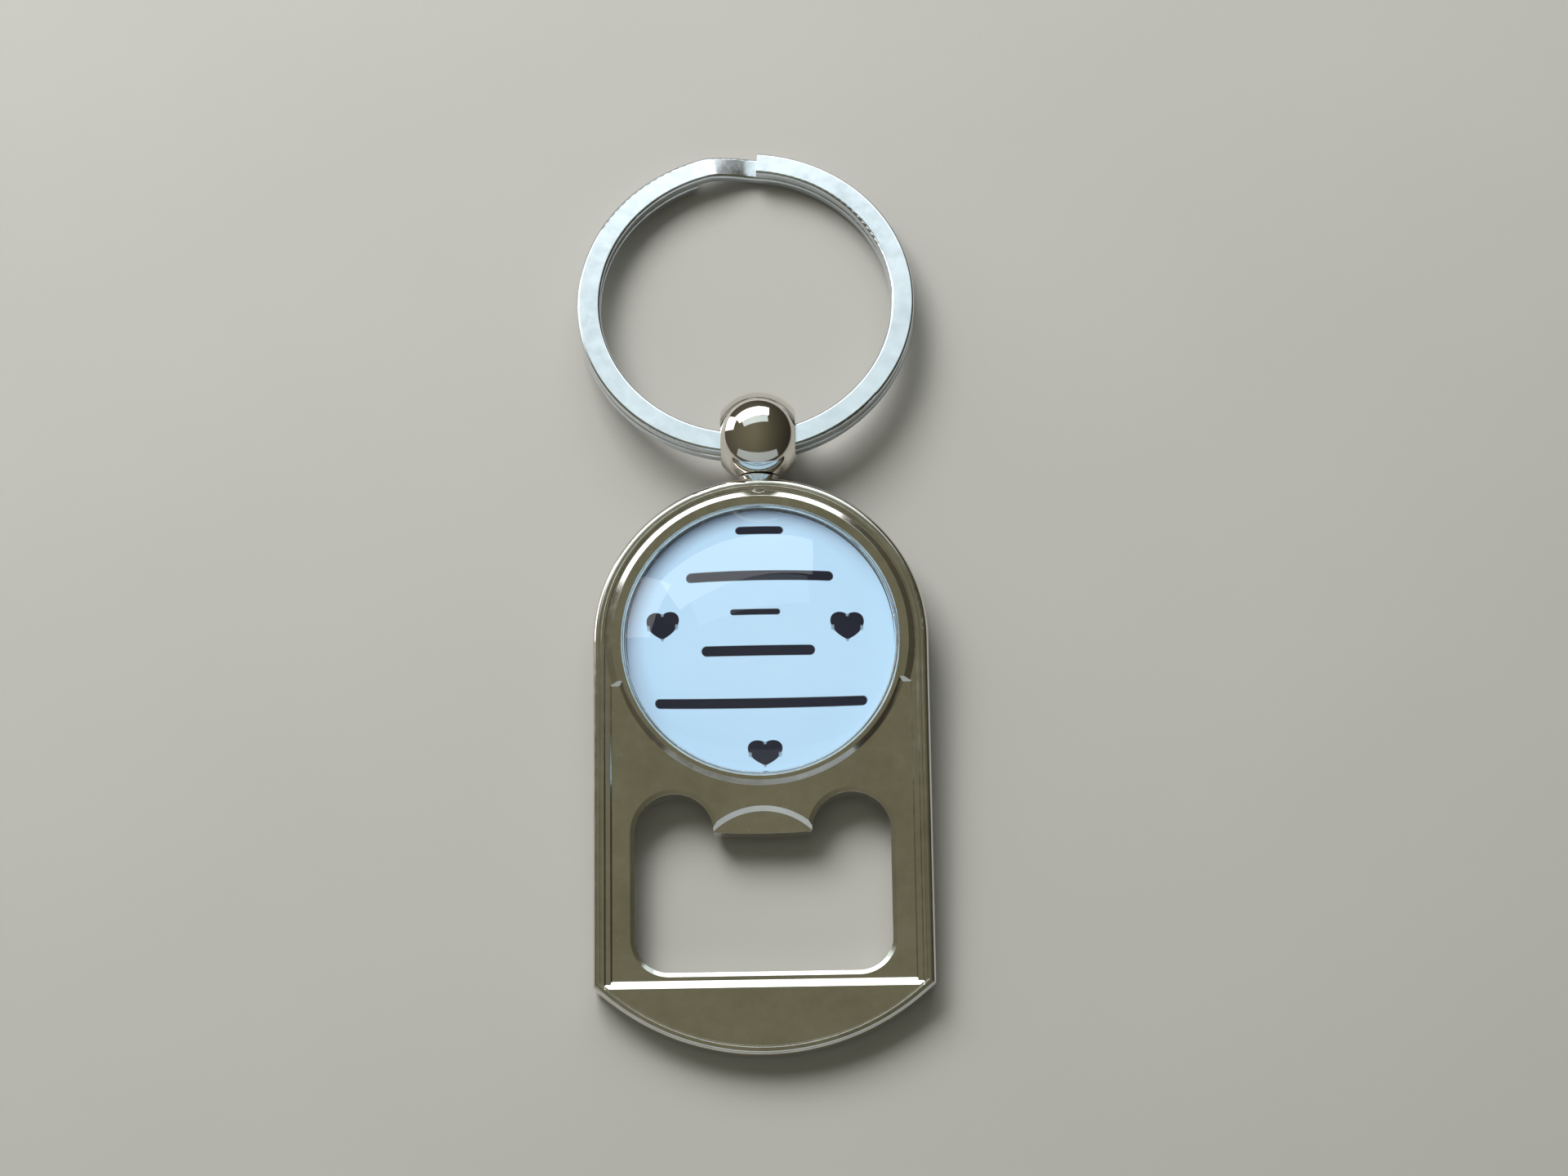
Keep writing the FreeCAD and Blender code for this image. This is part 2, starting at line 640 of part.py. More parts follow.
def make_layer(label, radius_name, thickness_name, base):
    layer = doc.addObject("Part::Cylinder", label)
    layer.Label = label
    layer.setExpression("Radius", "params." + radius_name)
    layer.setExpression("Height", "params." + thickness_name)
    layer.Placement = BODY_PLACEMENT.multiply(
        FreeCAD.Placement(vec(0, 0, base), FreeCAD.Rotation()))
    return layer


def make_glass():
    body = doc.addObject("PartDesign::Body", "glass_cabochon")
    body.Label = "glass_cabochon"
    base = "params.tray_floor + 2 * params.glue_film + params.disc_thickness"
    low = val("tray_floor") + 2 * val("glue_film") + val("disc_thickness")
    high = low + val("glass_edge")
    radius = val("glass_radius")
    rise = val("glass_rise")
    dome = (radius ** 2 + rise ** 2) / (2 * rise)
    sketch = new_sketch(body, "glass_profile", "XZ_Plane")
    axis = line(sketch, (0, high + rise), (0, low))
    floor = line(sketch, (0, low), (radius, low))
    girdle = line(sketch, (radius, low), (radius, high))
    start = math.degrees(math.asin((dome - rise) / dome))
    crown = arc(sketch, (0, high + rise - dome), dome, start, 90)
    rule(sketch, "Coincident", axis, 2, floor, 1)
    rule(sketch, "Coincident", floor, 2, girdle, 1)
    rule(sketch, "Coincident", girdle, 2, crown, 1)
    rule(sketch, "Coincident", crown, 2, axis, 1)
    rule(sketch, "PointOnObject", crown, 3, -2)
    rule(sketch, "PointOnObject", axis, 1, -2)
    rule(sketch, "PointOnObject", axis, 2, -2)
    rule(sketch, "Horizontal", floor)
    rule(sketch, "Vertical", girdle)
    dimension(sketch, "base", Sketcher.Constraint("DistanceY", -1, 1, floor, 1, low), base)
    dimension(sketch, "radius", Sketcher.Constraint("DistanceX", -1, 1, girdle, 1, radius),
              "params.glass_radius")
    dimension(sketch, "edge", Sketcher.Constraint("DistanceY", -1, 1, girdle, 2, high),
              base + " + params.glass_edge")
    dimension(sketch, "top", Sketcher.Constraint("DistanceY", -1, 1, crown, 2, high + rise),
              base + " + params.glass_edge + params.glass_rise")
    doc.recompute()
    dome_turn = feature(body, "Revolution", "glass_dome", sketch)
    dome_turn.ReferenceAxis = (sketch, ["V_Axis"])
    dome_turn.Angle = 360
    doc.recompute()
    body.Placement = BODY_PLACEMENT
    return body


# ---------------------------------------------------------------------------------------------
# ball head and rivet

def placed_cylinder(name, radius_formula, height_formula, direction, start):
    item = doc.addObject("Part::Cylinder", name)
    item.setExpression("Radius", radius_formula)
    item.setExpression("Height", height_formula)
    item.Placement = FreeCAD.Placement(start, FreeCAD.Rotation(vec(0, 0, 1), direction))
    item.Visibility = False
    return item


def make_ball():
    """A ball about its own origin, drilled through for the ring and from below for the rivet."""
    reach = 2 * val("ball_radius")
    sphere = doc.addObject("Part::Sphere", "ball_blank")
    sphere.setExpression("Radius", "params.ball_radius")
    # the seam faces away from the holes
    sphere.Placement = FreeCAD.Placement(vec(0, 0, 0), FreeCAD.Rotation(vec(0, 0, 1), 90))
    sphere.Visibility = False
    ring_hole = placed_cylinder("ball_ring_hole", "params.ring_hole_radius",
                                "4 * params.ball_radius", vec(1, 0, 0), vec(-reach, 0, 0))
    shank_hole = placed_cylinder("ball_shank_hole",
                                 "params.rivet_radius + params.rivet_clearance",
                                 "2 * params.ball_radius", vec(0, -1, 0), vec(0, 0, 0))
    counterbore = placed_cylinder("ball_counterbore",
                                  "params.rivet_head_radius + 2 * params.rivet_clearance",
                                  "params.rivet_head_underside + params.rivet_clearance",
                                  vec(0, -1, 0), vec(0, 0, 0))
    tools = doc.addObject("Part::MultiFuse", "ball_drills")
    tools.Shapes = [ring_hole, shank_hole, counterbore]
    tools.Visibility = False
    drilled = doc.addObject("Part::Cut", "ball_drilled")
    drilled.Base = sphere
    drilled.Tool = tools
    drilled.Visibility = False
    doc.recompute()
    rounding = doc.addObject("Part::Fillet", "swivel_ball")
    rounding.Label = "swivel_ball"
    rounding.Base = drilled
    chosen = []
    for index, edge in enumerate(drilled.Shape.Edges, start=1):
        box = edge.BoundBox
        beside = box.XMin * box.XMax > 0 and box.XMax - box.XMin < 0.05
        if beside and box.YMax > 1.5 and box.ZMax > 1.5:
            chosen.append((index, val("ring_hole_round"), val("ring_hole_round")))
    rounding.Edges = chosen
    centre = FreeCAD.Placement(vec(0, val("ball_centre"), BALL_AXIS_HEIGHT), FreeCAD.Rotation())
    rounding.Placement = BODY_PLACEMENT.multiply(centre)
    return rounding


def make_rivet():
    """Headed pin, pressed into the neck; the ball turns between its head and the neck."""
    body = doc.addObject("PartDesign::Body", "swivel_rivet")
    body.Label = "swivel_rivet"
    sketch = new_sketch(body, "rivet_profile", "XY_Plane",
                        height_formula="params.plate_thickness / 2")
    under = val("ball_centre") - val("rivet_head_underside")
    crown = val("ball_centre") - val("rivet_head_top")
    edges = polygon(sketch, [
        (0, crown),
        (0, val("rivet_tip")),
        (val("rivet_radius"), val("rivet_tip")),
        (val("rivet_radius"), under),
        (val("rivet_head_radius"), under),
        (val("rivet_head_radius"), crown),
    ])
    rule(sketch, "PointOnObject", edges[0], 1, -2)
    rule(sketch, "PointOnObject", edges[1], 1, -2)
    rule(sketch, "Horizontal", edges[1])
    rule(sketch, "Vertical", edges[2])
    rule(sketch, "Horizontal", edges[3])
    rule(sketch, "Vertical", edges[4])
    rule(sketch, "Horizontal", edges[5])
    locate(sketch, edges[2], 1, "tip", "params.rivet_radius", "params.rivet_tip")
    locate(sketch, edges[4], 1, "head", "params.rivet_head_radius",
           "params.ball_centre - params.rivet_head_underside")
    locate(sketch, edges[5], 1, "crown", None, "params.ball_centre - params.rivet_head_top")
    doc.recompute()
    turned = feature(body, "Revolution", "rivet_turned", sketch)
    turned.ReferenceAxis = (sketch, ["V_Axis"])
    turned.Angle = 360
    doc.recompute()
    body.Placement = BODY_PLACEMENT
    return body


# ---------------------------------------------------------------------------------------------
# split ring

def wire_section(angle, level):
    """The flat wire's rounded section, standing in the ring's radial plane at an angle."""
    outer = val("ring_outer_radius")
    inner = outer - val("ring_wire_width")
    half = val("ring_wire_thickness") / 2
    edge = val("ring_wire_round")
    bulge = edge * (1 - math.sqrt(0.5))
    corners = [
        (inner, -half + edge, inner + bulge, -half + bulge, inner + edge, -half),
        (outer - edge, -half, outer - bulge, -half + bulge, outer, -half + edge),
        (outer, half - edge, outer - bulge, half - bulge, outer - edge, half),
        (inner + edge, half, inner + bulge, half - bulge, inner, half - edge),
    ]
    turn = math.radians(angle)

    def place(r, h):
        return vec(r * math.cos(turn), r * math.sin(turn), level + h)

    edges = []
    for index, corner in enumerate(corners):
        after = corners[(index + 1) % len(corners)]
        start = place(corner[0], corner[1])
        middle = place(corner[2], corner[3])
        end = place(corner[4], corner[5])
        edges.append(Part.Arc(start, middle, end).toShape())
        edges.append(Part.LineSegment(end, place(after[0], after[1])).toShape())
    return Part.Wire(edges)


def coil(first, last, level):
    """One flat turn of wire, from the first angle clockwise to the last."""
    face = Part.Face(wire_section(first, level))
    return face.revolve(vec(0, 0, 0), vec(0, 0, 1), last - first)


def ramp_height(part):
    """How far down the straight ramp, from 0 to 1, with a short bend at each end."""
    bend = val("ring_ramp_bend")
    if part < bend:
        return part ** 2 / (2 * bend * (1 - bend))
    if part > 1 - bend:
        return 1 - (1 - part) ** 2 / (2 * bend * (1 - bend))
    return (part - bend / 2) / (1 - bend)


def make_ring():
    level = (val("ring_wire_thickness") + val("ring_coil_gap")) / 2
    ramp_start = val("ring_ramp_start") - 360
    ramp_end = val("ring_ramp_end") - 360
    lower_end = val("ring_lower_end") - 720
    upper = coil(val("ring_upper_end"), ramp_start, level)
    lower = coil(ramp_end, lower_end, -level)
    stations = 15
    sections = []
    for index in range(stations):
        part = index / (stations - 1)
        ease = ramp_height(part)
        sections.append(wire_section(ramp_start + (ramp_end - ramp_start) * part,
                                     level - 2 * level * ease))
    ramp = Part.makeLoft(sections, True, False)
    solid = upper.fuse([ramp, lower]).Solids[0]
    item = doc.addObject("Part::Feature", "split_ring")
    item.Label = "split_ring"
    item.Shape = solid
    item.Placement = RING_PLACEMENT
    return item


# ---------------------------------------------------------------------------------------------
# build, check and write

glue_base = val("tray_floor")
disc_base = glue_base + val("glue_film")
clear_base = disc_base + val("disc_thickness")

NODES = [
    make_opener_body(),
    make_layer("tray_adhesive", "glue_radius", "glue_film", glue_base),
    make_layer("printed_disc", "disc_radius", "disc_thickness", disc_base),
    make_layer("glass_adhesive", "glue_radius", "glue_film", clear_base),
    make_glass(),
    make_ball(),
    make_rivet(),
    make_ring(),
]
doc.recompute()

for item in doc.Objects:
    if "Invalid" in item.State or "Error" in item.State:
        raise RuntimeError("%s is in state %s" % (item.Name, item.State))

os.makedirs("parts", exist_ok=True)
for node in NODES:
    shape = node.Shape
    if shape.isNull() or not shape.isValid() or len(shape.Solids) != 1:
        raise RuntimeError("%s has no single valid solid" % node.Label)
    shape.exportStep("parts/%s.step" % node.Label)
    box = shape.BoundBox
    print("%-16s %8.2f mm3  x %.2f..%.2f  y %.2f..%.2f  z %.2f..%.2f" % (
        node.Label, shape.Volume, box.XMin, box.XMax, box.YMin, box.YMax, box.ZMin, box.ZMax))

print("lean of the opener %.5f, of the ring %.5f" % (BODY_LEAN, RING_LEAN))
print("shift", [round(number, 5) for number in SHIFT])
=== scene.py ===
import bpy
import bmesh
import json
import math
from mathutils import Matrix, Vector


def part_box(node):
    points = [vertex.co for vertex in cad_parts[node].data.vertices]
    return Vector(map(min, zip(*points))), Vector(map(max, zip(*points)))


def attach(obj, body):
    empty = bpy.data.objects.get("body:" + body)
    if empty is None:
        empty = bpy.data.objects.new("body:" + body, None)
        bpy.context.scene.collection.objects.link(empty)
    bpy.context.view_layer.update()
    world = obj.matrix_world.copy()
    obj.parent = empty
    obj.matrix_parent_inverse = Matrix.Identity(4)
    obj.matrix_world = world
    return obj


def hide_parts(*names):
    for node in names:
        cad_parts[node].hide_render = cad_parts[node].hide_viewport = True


MM = 0.001

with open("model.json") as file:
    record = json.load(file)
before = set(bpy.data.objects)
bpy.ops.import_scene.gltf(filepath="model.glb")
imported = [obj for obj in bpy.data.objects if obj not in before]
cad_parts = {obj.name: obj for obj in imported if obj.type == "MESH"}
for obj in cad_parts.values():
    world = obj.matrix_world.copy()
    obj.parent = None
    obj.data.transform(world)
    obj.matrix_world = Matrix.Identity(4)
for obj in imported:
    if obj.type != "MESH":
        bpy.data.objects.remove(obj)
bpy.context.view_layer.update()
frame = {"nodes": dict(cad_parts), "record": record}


# ------------------------------------------------------------------ the plate's own frame

def middle(node):
    low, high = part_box(node)
    return (Vector(low) + Vector(high)) / 2


def joint_axis(name):
    for joint in frame["record"]["behaviour"]["joints"]:
        if joint["name"] == name:
            return Vector(joint["axis"]).normalized()
    raise KeyError(name)


PLATE_Y = joint_axis("ball_swivel")
PLATE_X = Vector((1, 0, 0))
PLATE_Z = PLATE_X.cross(PLATE_Y)
LEAN = math.atan2(PLATE_Y.z, PLATE_Y.y)
GLUE_MIDDLE = middle("glass_adhesive")
GLUE_HALF = 0.04 * MM          # half the glue film's thickness

# the camera, in millimetres in the row's frame
LENS = 87.32
CAMERA_PLACE = (9.063, -105.708, 341.129)
CAMERA_RIGHT = (0.99969, -0.01220, -0.02160)
CAMERA_UP = (0.01808, 0.95464, 0.29722)
CAMERA_BACK = (0.01700, -0.29752, 0.95456)

LAMP_DISTANCE = 0.62           # metres, from the origin
FLOOR_HALF = 3.0               # metres


def plate_frame(origin):
    """The matrix from plate axes, X across and Z out of its face, to the row's frame."""
    turn = Matrix((PLATE_X, PLATE_Y, PLATE_Z)).transposed().to_4x4()
    return Matrix.Translation(origin) @ turn


# ------------------------------------------------------------------ camera, floor and light

def add_camera():
    data = bpy.data.cameras.new("camera")
    data.sensor_width = 36.0
    data.lens = LENS
    data.clip_start = 0.01
    data.clip_end = 20.0
    cam = bpy.data.objects.new("camera", data)
    axes = (Vector(CAMERA_RIGHT), Vector(CAMERA_UP), Vector(CAMERA_BACK))
    turn = Matrix(axes).transposed().to_4x4()
    cam.matrix_world = Matrix.Translation(Vector(CAMERA_PLACE) * MM) @ turn
    bpy.context.scene.collection.objects.link(cam)
    bpy.context.scene.camera = cam


def direction(azimuth, elevation):
    """A unit vector: azimuth from +X towards +Y, elevation from the table, in degrees."""
    a, e = math.radians(azimuth), math.radians(elevation)
    return Vector((math.cos(e) * math.cos(a), math.cos(e) * math.sin(a), math.sin(e)))


def softbox(name, azimuth, elevation, wide, tall, radiance, colour=(1, 1, 1), seen=True):
    """A rectangular light that spans these angles from the object.

    It shows about 1.3 to 1.4 times this radiance. Where seen is False, nothing mirrors it."""
    size = 2 * LAMP_DISTANCE * math.tan(math.radians(wide / 2))
    size_y = 2 * LAMP_DISTANCE * math.tan(math.radians(tall / 2))
    data = bpy.data.lights.new(name, "AREA")
    data.shape = "RECTANGLE"
    data.size, data.size_y = size, size_y
    data.energy = 4 * size * size_y * radiance
    data.color = colour
    lamp = bpy.data.objects.new(name, data)
    lamp.location = direction(azimuth, elevation) * LAMP_DISTANCE
    lamp.rotation_euler = lamp.location.to_track_quat("Z", "Y").to_euler()
    lamp.visible_glossy = seen
    lamp.visible_transmission = seen
    bpy.context.scene.collection.objects.link(lamp)


def add_world():
    world = bpy.data.worlds.new("studio")
    world.use_nodes = True
    nodes, links = world.node_tree.nodes, world.node_tree.links
    coords = nodes.new("ShaderNodeTexCoord")
    split = nodes.new("ShaderNodeSeparateXYZ")
    ramp = nodes.new("ShaderNodeValToRGB")
    links.new(coords.outputs["Generated"], split.inputs["Vector"])
    links.new(split.outputs["Z"], ramp.inputs["Fac"])
    # the room is darker towards +X
    side = nodes.new("ShaderNodeMapRange")
    side.inputs["From Min"].default_value = -0.1
    side.inputs["To Min"].default_value = 1.0
    side.inputs["To Max"].default_value = 0.35
    links.new(split.outputs["X"], side.inputs["Value"])
    links.new(ramp.outputs["Color"], nodes["Background"].inputs["Color"])
    links.new(side.outputs["Result"], nodes["Background"].inputs["Strength"])
    ramp.color_ramp.elements[0].position = 0.0
    ramp.color_ramp.elements[0].color = (0.085, 0.075, 0.06, 1)
    ramp.color_ramp.elements[1].position = 1.0
    ramp.color_ramp.elements[1].color = (0.172, 0.163, 0.107, 1)
    step = ramp.color_ramp.elements.new(0.8)
    step.color = (0.148, 0.14, 0.092, 1)
    bpy.context.scene.world = world


# ------------------------------------------------------------------ materials

class Look:
    """A Principled material, with short ways to add nodes to it."""

    def __init__(self, name, **values):
        self.mat = bpy.data.materials.new(name)
        self.mat.use_nodes = True
        self.tree = self.mat.node_tree
        self.shader = self.tree.nodes["Principled BSDF"]
        for key, value in values.items():
            self.shader.inputs[key.replace("_", " ")].default_value = value
        self.place = self.node("TexCoord").outputs["Object"]

    def feed(self, socket, value):
        if isinstance(value, bpy.types.NodeSocket):
            self.tree.links.new(value, socket)
        else:
            socket.default_value = value

    def node(self, kind, settings=(), **inputs):
        node = self.tree.nodes.new("ShaderNode" + kind)
        for key, value in dict(settings).items():
            setattr(node, key, value)
        for key, value in inputs.items():
            self.feed(node.inputs[key], value)
        return node

    def math(self, operation, a, b=0.0, c=0.0):
        node = self.node("Math", {"operation": operation})
        for socket, value in zip(node.inputs, (a, b, c)):
            self.feed(socket, value)
        return node.outputs[0]

    def noise(self, scale, detail=2.0, rough=0.5, place=None):
        node = self.node("TexNoise", Vector=place or self.place, Scale=scale, Detail=detail,
                         Roughness=rough)
        return node.outputs["Fac"]

    def spread(self, value, low, high, to_low=0.0, to_high=1.0):
        """The value's range low to high becomes the range to_low to to_high, clamped."""
        node = self.node("MapRange", {"clamp": True})
        for socket, number in zip(node.inputs, (value, low, high, to_low, to_high)):
            self.feed(socket, number)
        return node.outputs[0]

    def mix(self, amount, a, b):
        node = self.node("Mix", {"data_type": "RGBA"})
        self.feed(node.inputs[0], amount)
        self.feed(node.inputs[6], a)
        self.feed(node.inputs[7], b)
        return node.outputs[2]

    def bump(self, height, depth, normal=None):
        node = self.node("Bump", Height=height, Distance=depth, Strength=1.0)
        if normal is not None:
            self.feed(node.inputs["Normal"], normal)
        return node.outputs["Normal"]

    def turned(self, angles, scale):
        """The coordinates stretched along turned axes, for fine lines."""
        node = self.node("Mapping", {"vector_type": "TEXTURE"}, Vector=self.place,
                         Rotation=[math.radians(a) for a in angles], Scale=scale)
        return node.outputs["Vector"]

    def set(self, socket, value):
        self.feed(self.shader.inputs[socket], value)


def rgb(*values):
    return (*values, 1.0)


def scratches(look, angle, fineness, amount):
    """Hairlines along one direction: 1 on a line, 0 elsewhere, and broken into short runs."""
    along = look.turned((0, 0, angle), (0.02, 0.0006 / fineness, 0.02))
    lines = look.noise(1.0, 1.0, 0.4, along)
    patches = look.noise(220.0, 1.0)
    line = look.spread(lines, amount, amount + 0.03)
    return look.math("MULTIPLY", line, look.spread(patches, 0.5, 0.6))


def metal(name, bright, dull, gloss, wave, grain, edge=0.0, marks=0.0):
    """Plated metal: tone and gloss drift slowly, with cast waviness, grain and hairlines.

    gloss is the roughness at its glossiest and dullest, wave and grain are bump depths in
    metres, edge is the radius that the light sees on sharp edges, and marks is the depth of
    the hairlines."""
    look = Look(name, Metallic=1.0)
    slow = look.noise(160.0, 3.0, 0.55)
    mid = look.noise(900.0, 3.0, 0.6)
    fine = look.noise(5200.0, 3.0, 0.6)
    tone = look.spread(look.math("ADD", slow, look.math("MULTIPLY", mid, 0.5)), 0.5, 1.0)
    look.set("Base Color", look.mix(tone, dull, bright))
    dullness = look.spread(look.math("ADD", mid, look.math("MULTIPLY", fine, 0.6)), 0.55, 1.05,
                           gloss[0], gloss[1])
    normal = None
    if edge:
        normal = look.node("Bevel", {"samples": 6}, Radius=edge).outputs["Normal"]
    normal = look.bump(look.noise(520.0, 1.0), wave, normal)
    normal = look.bump(fine, grain, normal)
    if marks:
        lines = look.math("MAXIMUM", scratches(look, 82, 1.0, 0.68),
                          scratches(look, 24, 1.4, 0.70))
        dullness = look.math("ADD", dullness, look.math("MULTIPLY", lines, 0.04))
        normal = look.bump(lines, -marks, normal)
        pits = look.node("TexVoronoi", Vector=look.place, Scale=560.0).outputs["Distance"]
        pit = look.spread(pits, 0.0, 0.06, 1.0, 0.0)
        dullness = look.math("ADD", dullness, look.math("MULTIPLY", pit, 0.25))
        normal = look.bump(pit, -8 * marks, normal)
    look.set("Roughness", dullness)
    look.set("Normal", normal)
    return look.mat


def heart(look, x, y, place, size):
    """1 inside a plain heart about place, in millimetres on the picture."""
    u = look.math("DIVIDE", look.math("SUBTRACT", x, place[0]), size[0])
    v = look.math("DIVIDE", look.math("SUBTRACT", y, place[1]), size[1])
    uu = look.math("MULTIPLY", u, u)
    vv = look.math("MULTIPLY", v, v)
    ring = look.math("SUBTRACT", look.math("ADD", uu, vv), 1.0)
    cube = look.math("MULTIPLY", look.math("MULTIPLY", ring, ring), ring)
    lobe = look.math("MULTIPLY", look.math("MULTIPLY", uu, vv), v)
    return look.spread(look.math("SUBTRACT", cube, lobe), -0.015, 0.015, 1.0, 0.0)


def bar(look, x, y, place, half_width, half_height):
    """1 inside a round-ended bar about place, in millimetres on the picture."""
    along = look.math("ABSOLUTE", look.math("SUBTRACT", x, place[0]))
    along = look.math("MAXIMUM", look.math("SUBTRACT", along, half_width - half_height), 0.0)
    across = look.math("SUBTRACT", y, place[1])
    square = look.math("ADD", look.math("MULTIPLY", along, along),
                       look.math("MULTIPLY", across, across))
    away = look.math("SQRT", square)
    return look.spread(away, half_height - INK_BLUR, half_height + INK_BLUR, 1.0, 0.0)


# the picture, in millimetres from its middle
HEARTS = [(-8.46, 1.13), (7.49, 0.85), (0.30, -10.4)]
HEART_SIZE = (1.34, 1.12)
# each bar's middle, half width and half height
BARS = [((0.0, 9.8), 2.1, 0.42), ((0.0, 5.44), 6.34, 0.45), ((-0.4, 2.23), 2.1, 0.26),
        ((-0.18, -1.09), 4.8, 0.45), ((0.0, -5.66), 9.4, 0.45)]
SHADE_START, SHADE_FULL = 10.1, 11.9      # radii of the painted shade at the paper's edge, standing in for the rim's shadow
INK_BLUR = 0.04                           # half the width of a bar's soft edge


def print_look():
    """Bluish white photo paper with three plain hearts and five plain bars in black ink."""
    look = Look("printed_paper", Specular_IOR_Level=0.3)
    centre = middle("printed_disc")
    local = look.node("VectorMath", {"operation": "SUBTRACT"})
    look.feed(local.inputs[0], look.place)
    look.feed(local.inputs[1], centre)
    flat = look.node("Mapping", Vector=local.outputs[0], Rotation=(-LEAN, 0, 0),
                     Scale=(1000, 1000, 1000))
    axes = look.node("SeparateXYZ", Vector=flat.outputs["Vector"])
    x, y = axes.outputs["X"], axes.outputs["Y"]
    ink = None
    for place in HEARTS:
        shape = heart(look, x, y, place, HEART_SIZE)
        ink = shape if ink is None else look.math("MAXIMUM", ink, shape)
    for place, half_width, half_height in BARS:
        ink = look.math("MAXIMUM", ink, bar(look, x, y, place, half_width, half_height))
    mottle = look.noise(9000.0, 2.0)
    slow = look.noise(120.0, 2.0)
    paper = look.mix(slow, rgb(0.52, 0.74, 0.95), rgb(0.56, 0.79, 0.98))
    ink_tone = look.mix(mottle, rgb(0.006, 0.006, 0.014), rgb(0.016, 0.017, 0.035))
    # a painted shade at the paper's edge, most at the upper left, in place of the rim's own
    from_middle = look.node("VectorMath", {"operation": "LENGTH"})
    look.feed(from_middle.inputs[0], flat.outputs["Vector"])
    at_edge = look.spread(from_middle.outputs["Value"], SHADE_START, SHADE_FULL)
    upper_left = look.math("SUBTRACT", look.math("MULTIPLY", y, 0.066),
                           look.math("MULTIPLY", x, 0.05))
    shade = look.math("MULTIPLY", at_edge, look.spread(upper_left, -0.25, 0.75, 0.0, 0.8))
    paper = look.mix(shade, paper, rgb(0.30, 0.33, 0.43))
    look.set("Base Color", look.mix(ink, paper, ink_tone))
    look.set("Roughness", look.spread(mottle, 0.3, 0.7, 0.45, 0.6))
    look.set("Normal", look.bump(mottle, 1.5e-6))
    return look.mat


def glass_look():
    """Clear glass that mirrors less than real glass, so that the picture stays readable."""
    look = Look("clear_glass", Base_Color=rgb(1, 1, 1), IOR=1.5, Transmission_Weight=1.0,
                Specular_IOR_Level=0.18)
    haze = look.noise(700.0, 3.0, 0.6)
    look.set("Roughness", look.spread(haze, 0.45, 0.75, 0.0, 0.02))
    look.set("Normal", look.bump(look.noise(260.0, 2.0), 4e-6))
    return look.mat


def glue_look():
    look = Look("clear_glue", Base_Color=rgb(0.93, 0.96, 0.97), IOR=1.46,
                Transmission_Weight=0.85)
    cloud = look.noise(1500.0, 3.0)
    look.set("Roughness", look.spread(cloud, 0.3, 0.7, 0.05, 0.3))
    look.set("Normal", look.bump(cloud, 6e-6))
    return look.mat


def dress(node, mat):
    for slot in frame["nodes"][node].material_slots:
        slot.material = mat


# ------------------------------------------------------------------ replacement meshes

def add_piece(name, mesh, mat, body, slot, *nodes):
    mesh.materials.append(mat)
    for face in mesh.polygons:
        face.use_smooth = True
    piece = bpy.data.objects.new(name, mesh)
    bpy.context.scene.collection.objects.link(piece)
    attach(piece, body)
    if nodes:
        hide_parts(*nodes)
    return piece


def lathe(name, profile, where, turns=192, closed=False):
    """Turns a profile of (radius, height) points in metres about the local Z axis."""
    mesh = bpy.data.meshes.new(name)
    bm = bmesh.new()
    rows = []
    for radius, height in profile:
        if radius < 1e-9:
            rows.append([bm.verts.new((0, 0, height))])
            continue
        row = []
        for step in range(turns):
            angle = 2 * math.pi * step / turns
            place = (radius * math.cos(angle), radius * math.sin(angle), height)
            row.append(bm.verts.new(place))
        rows.append(row)
    pairs = list(zip(rows, rows[1:]))
    if closed:
        pairs.append((rows[-1], rows[0]))
    for one, two in pairs:
        for step in range(turns):
            after = (step + 1) % turns
            if len(one) == 1:
                bm.faces.new((one[0], two[after], two[step]))
            elif len(two) == 1:
                bm.faces.new((one[step], one[after], two[0]))
            else:
                bm.faces.new((one[step], one[after], two[after], two[step]))
    bmesh.ops.recalc_face_normals(bm, faces=bm.faces)
    bm.transform(where)
    bm.to_mesh(mesh)
    bm.free()
    return mesh


def arc_points(centre, radius, start, end, count):
    points = []
    for step in range(count + 1):
        angle = math.radians(start + (end - start) * step / count)
        points.append((centre[0] + radius * math.cos(angle),
                       centre[1] + radius * math.sin(angle)))
    return points


def add_glass():
    """The domed glass: flat back, short polished girdle, rounded shoulder, spherical dome."""
    radius, girdle, rise = 12.5 * MM, 1.2 * MM, 4.3 * MM
    sink = 0.012 * MM           # how far it goes into the paper, so that no gap shows
    below = 2 * GLUE_HALF + sink
    sphere = (radius ** 2 + rise ** 2) / (2 * rise)
    top = girdle + rise
    centre = top - sphere
    shoulder = 0.35 * MM
    heel = 0.28 * MM            # the round at the foot of the girdle
    flat_ring = 1.5 * MM
    # the shoulder's arc touches the girdle and the dome
    inner = sphere - shoulder
    lift = math.sqrt(inner ** 2 - (radius - shoulder) ** 2)
    corner = (radius - shoulder, centre + lift)
    meet = math.degrees(math.atan2(lift, radius - shoulder))
    profile = [(0, -below), (radius - flat_ring, -below), (radius - heel, -below)]
    profile += arc_points((radius - heel, -below + heel), heel, -70, 0, 5)
    profile += arc_points(corner, shoulder, 0, meet, 8)
    profile += arc_points((0, centre), sphere, meet, 90, 56)[1:-1]
    profile.append((0, top))
    place = plate_frame(GLUE_MIDDLE + PLATE_Z * GLUE_HALF)
    mesh = lathe("glass_dome", profile, place)
    piece = add_piece("glass_dome", mesh, glass_look(), "opener", "clear_glass",
                      "glass_cabochon")
    piece.visible_shadow = False


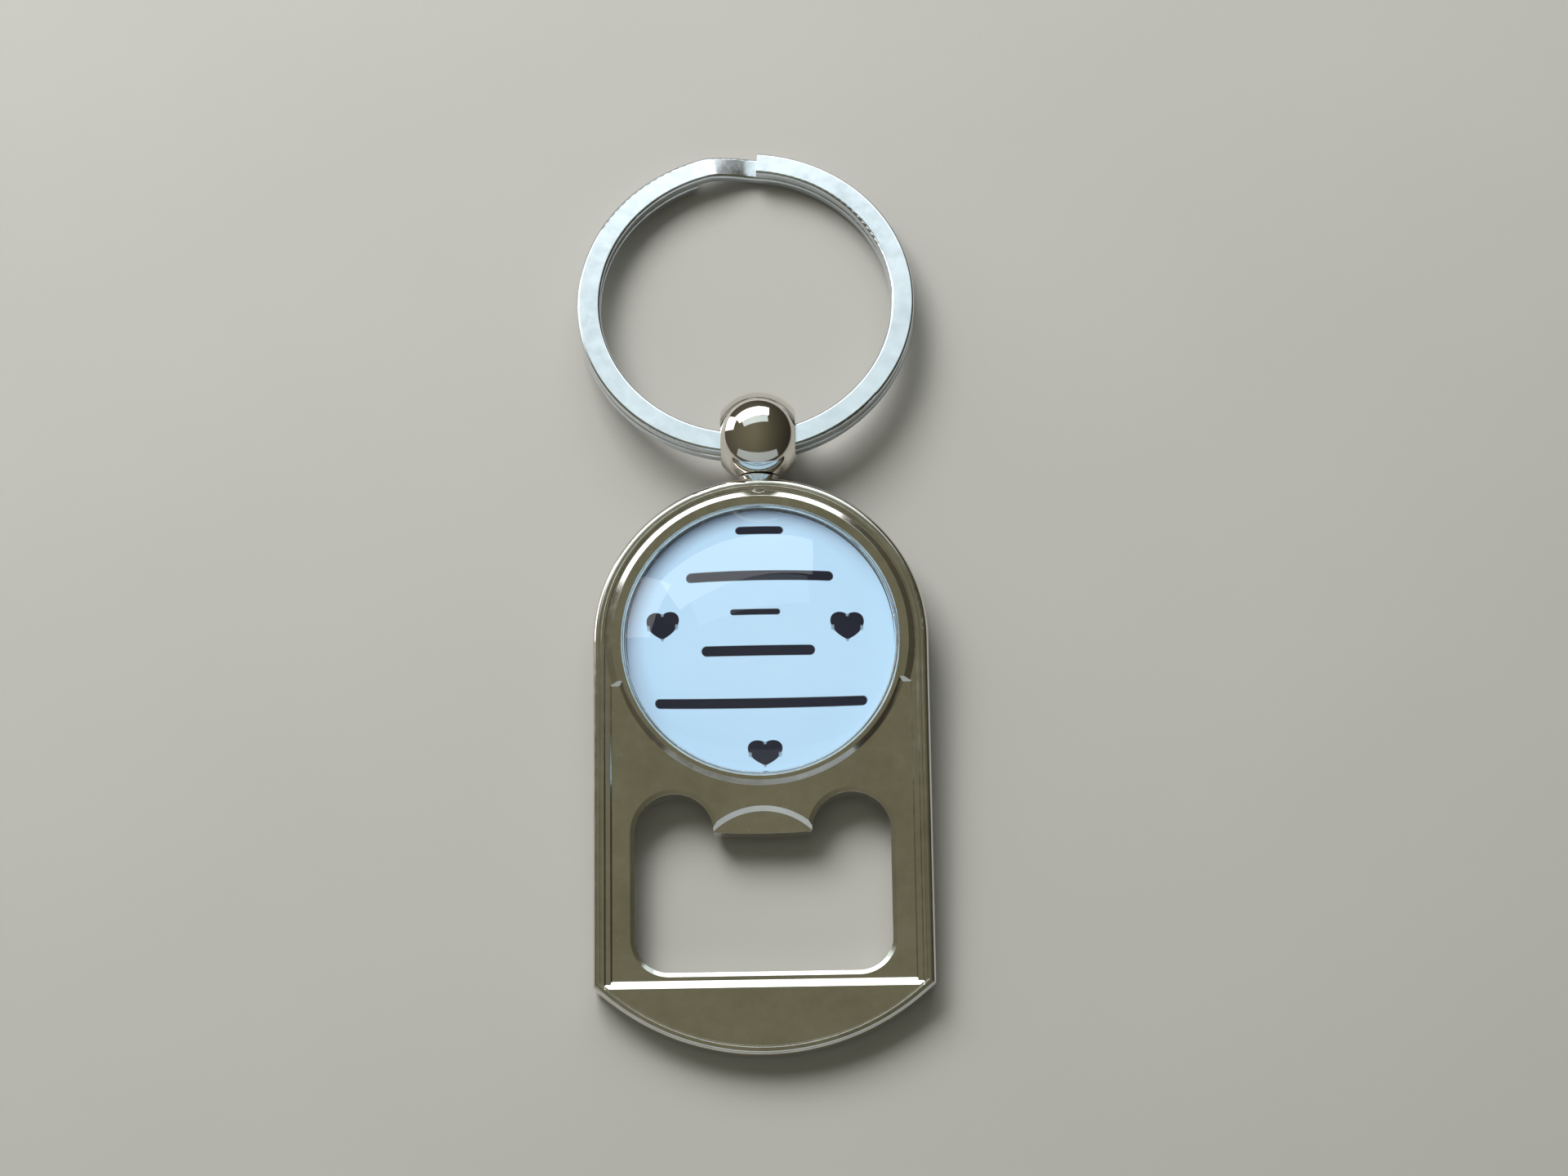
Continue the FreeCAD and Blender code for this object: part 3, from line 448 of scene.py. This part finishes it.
def add_glue_bead():
    """The clear glue that was squeezed up into the gap round the glass, with a hollow top."""
    place = plate_frame(GLUE_MIDDLE)
    profile = [(12.0 * MM, -0.03 * MM), (12.58 * MM, -0.03 * MM), (12.585 * MM, 0.62 * MM)]
    profile += [(12.56 * MM, 0.56 * MM), (12.53 * MM, 0.53 * MM), (12.505 * MM, 0.55 * MM),
                (12.50 * MM, 0.0)]
    mesh = lathe("glue_bead", profile, place, closed=True)
    piece = add_piece("glue_bead", mesh, glue_look(), "opener", "adhesive", "glass_adhesive")
    piece.visible_shadow = False


# ------------------------------------------------------------------ the scene

add_camera()

floor_look = Look("floor_pale", Specular_IOR_Level=0.2)
pale = floor_look.mix(floor_look.noise(30.0, 3.0), rgb(0.50, 0.49, 0.465),
                      rgb(0.53, 0.52, 0.495))
floor_look.set("Base Color", pale)
floor_look.set("Roughness", floor_look.spread(floor_look.noise(90.0), 0.3, 0.7, 0.6, 0.75))
floor_mesh = bpy.data.meshes.new("floor")
corners = [(-FLOOR_HALF, -FLOOR_HALF, 0), (FLOOR_HALF, -FLOOR_HALF, 0),
           (FLOOR_HALF, FLOOR_HALF, 0), (-FLOOR_HALF, FLOOR_HALF, 0)]
floor_mesh.from_pydata(corners, [], [(0, 1, 2, 3)])
floor_mesh.materials.append(floor_look.mat)
floor = bpy.data.objects.new("floor", floor_mesh)
bpy.context.scene.collection.objects.link(floor)

add_world()
softbox("window_low", 104, 37, 68, 27, 1.7, (0.95, 0.98, 1.0))
softbox("window_high", 101, 59.5, 58, 18, 0.66, (0.80, 0.95, 1.0))
softbox("left_window", 153, 15, 26, 26, 1.5, (1.0, 0.98, 0.95))
softbox("front_fill", -92, 22, 96, 26, 0.34, (0.80, 0.92, 1.0))
softbox("daylight", 120, 45, 32, 32, 6.1, (1.0, 0.99, 0.97), seen=False)

nickel = metal("nickel_plate", rgb(0.86, 0.84, 0.79), rgb(0.70, 0.685, 0.63), (0.07, 0.17),
               4e-6, 4.5e-7, edge=0.07 * MM, marks=4e-7)
dress("opener_body", nickel)
dress("swivel_ball", metal("nickel_ball", rgb(0.82, 0.79, 0.74), rgb(0.75, 0.71, 0.65),
                           (0.03, 0.09), 2e-6, 1.5e-7, edge=0.05 * MM))
dress("split_ring", metal("ring_steel", rgb(0.80, 0.85, 0.90), rgb(0.66, 0.71, 0.76),
                          (0.14, 0.22), 4e-6, 5e-7))
dress("swivel_rivet", metal("rivet_steel", rgb(0.68, 0.67, 0.66), rgb(0.55, 0.54, 0.53),
                            (0.28, 0.42), 3e-6, 6e-7))
dress("tray_adhesive", glue_look())
dress("printed_disc", print_look())
add_glass()
add_glue_bead()

bpy.context.scene.view_settings.view_transform = "Standard"
